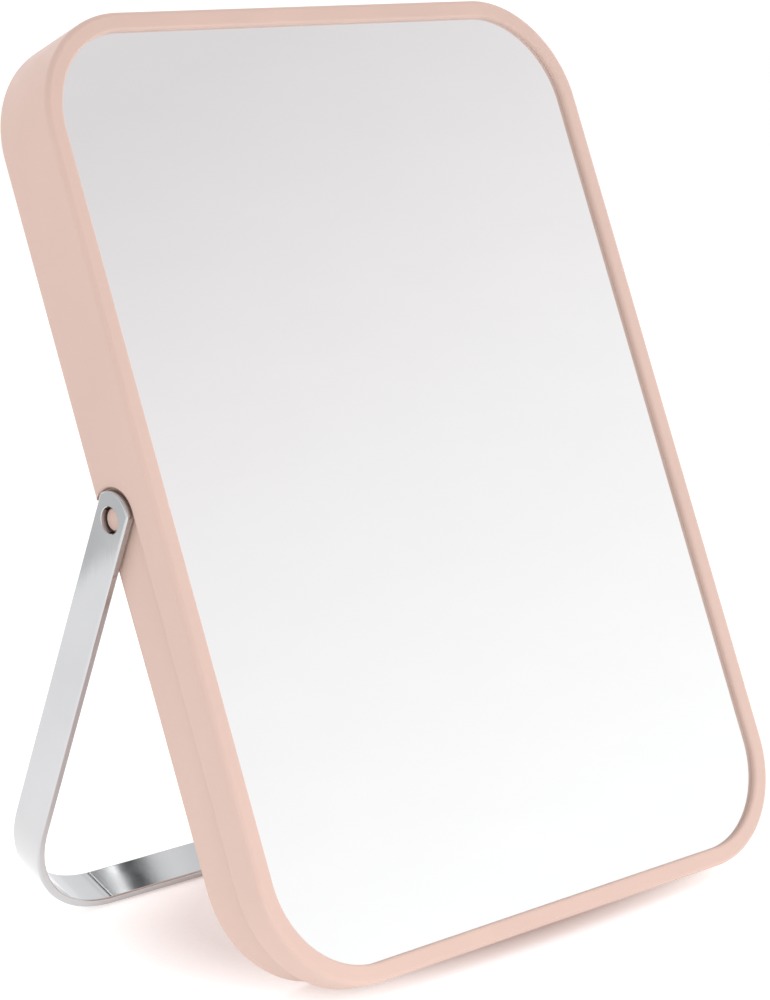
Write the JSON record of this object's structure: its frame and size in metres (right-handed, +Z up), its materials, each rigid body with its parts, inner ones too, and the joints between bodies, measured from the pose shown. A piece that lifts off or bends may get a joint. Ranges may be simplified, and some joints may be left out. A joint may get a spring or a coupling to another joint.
{
  "type": "folding table mirror",
  "caption": "Rounded rectangular table mirror in a slim plastic frame, leaning on a hinged U-shaped flat-metal stand that folds into a step around the frame.",
  "frame": {"origin": "floor point under the middle of the bounding box, with the mirror standing open as it is used", "axes": "+Z up, -Y the side that the glass faces, +X to the right of someone looking into the mirror"},
  "size_m": [0.1634, 0.1022, 0.2046],
  "materials": {
    "pink_plastic": "matte",
    "mirror": "polished",
    "chrome": "polished",
    "grey_foam": "matte"
  },
  "bodies": {
    "panel": {"frame": "pink_plastic", "mirror_glass": "mirror", "back_cover": "pink_plastic", "foam_strip_left": "grey_foam", "foam_strip_right": "grey_foam", "foam_strip_top": "grey_foam", "foam_strip_bottom": "grey_foam", "pivot_pin_left": "pink_plastic", "pivot_pin_right": "pink_plastic"},
    "stand": {"stand_bail": "chrome"}
  },
  "joints": [
    {"name": "stand_swing", "type": "hinge", "parent": "panel", "child": "stand", "pos_m": [0, 0.0013, 0.09974], "axis": [1, 0, 0], "range_deg": [-46, 44]}
  ]
}
